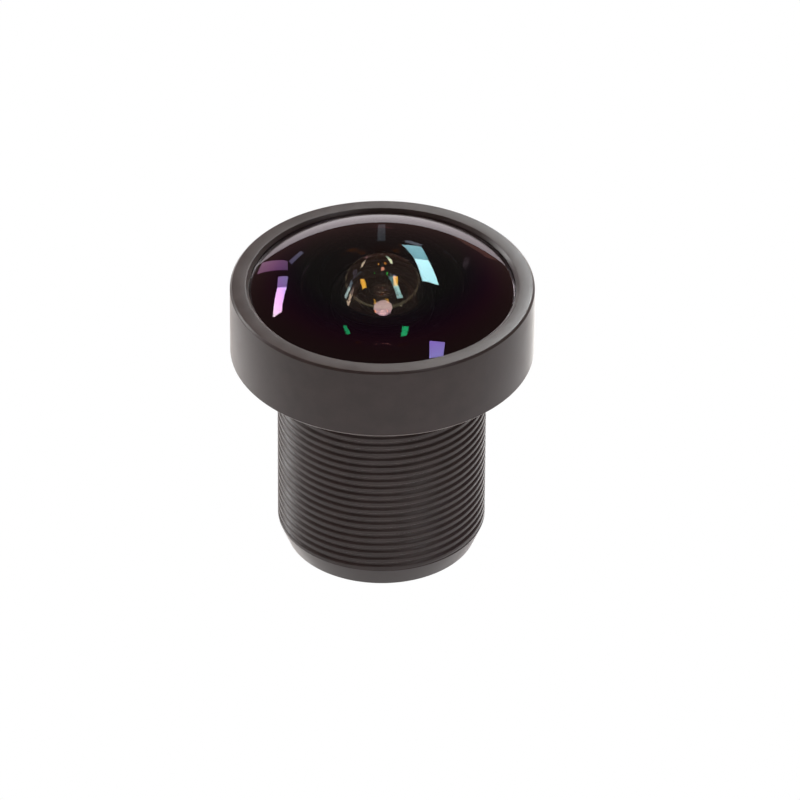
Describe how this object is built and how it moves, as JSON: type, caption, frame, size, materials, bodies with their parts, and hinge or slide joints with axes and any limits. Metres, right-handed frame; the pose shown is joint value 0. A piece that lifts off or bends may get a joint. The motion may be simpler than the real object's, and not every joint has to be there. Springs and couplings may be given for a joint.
{
  "type": "board camera lens",
  "caption": "Wide-angle board camera lens: a domed front element in a round head on a slim barrel with a fine M12 mounting thread.",
  "frame": {"origin": "centre of the rear face of the barrel, on the optical axis", "axes": "+Z along the optical axis towards the front element; the two spanner slots of the rear retainer lie on the X axis"},
  "size_m": [0.0174, 0.0174, 0.0194],
  "materials": {
    "black_anodised": "fine matt black anodised, turned",
    "inner_black": "dull black anodised against stray light",
    "black_film": "dull black film",
    "seal_rubber": "black seal rubber",
    "coated_glass": "polished, with an anti-reflection coating that shines violet, cyan and green",
    "filter_coated_glass": "polished, with a filter coating that shines red"
  },
  "bodies": {
    "root": {"barrel": "black_anodised", "front_cap": "black_anodised", "front_lens": "coated_glass", "front_seal": "seal_rubber", "second_lens": "coated_glass", "second_lens_ring": "inner_black", "third_lens": "coated_glass", "third_lens_ring": "inner_black", "third_lens_cell": "inner_black", "aperture_stop": "black_film", "stop_spacer": "inner_black", "fourth_lens": "coated_glass", "fifth_lens": "coated_glass", "pair_cell": "inner_black", "rear_baffle": "black_film", "rear_spacer": "inner_black", "sixth_lens": "coated_glass", "rear_retainer": "black_anodised", "filter_glass": "filter_coated_glass"}
  },
  "joints": []
}
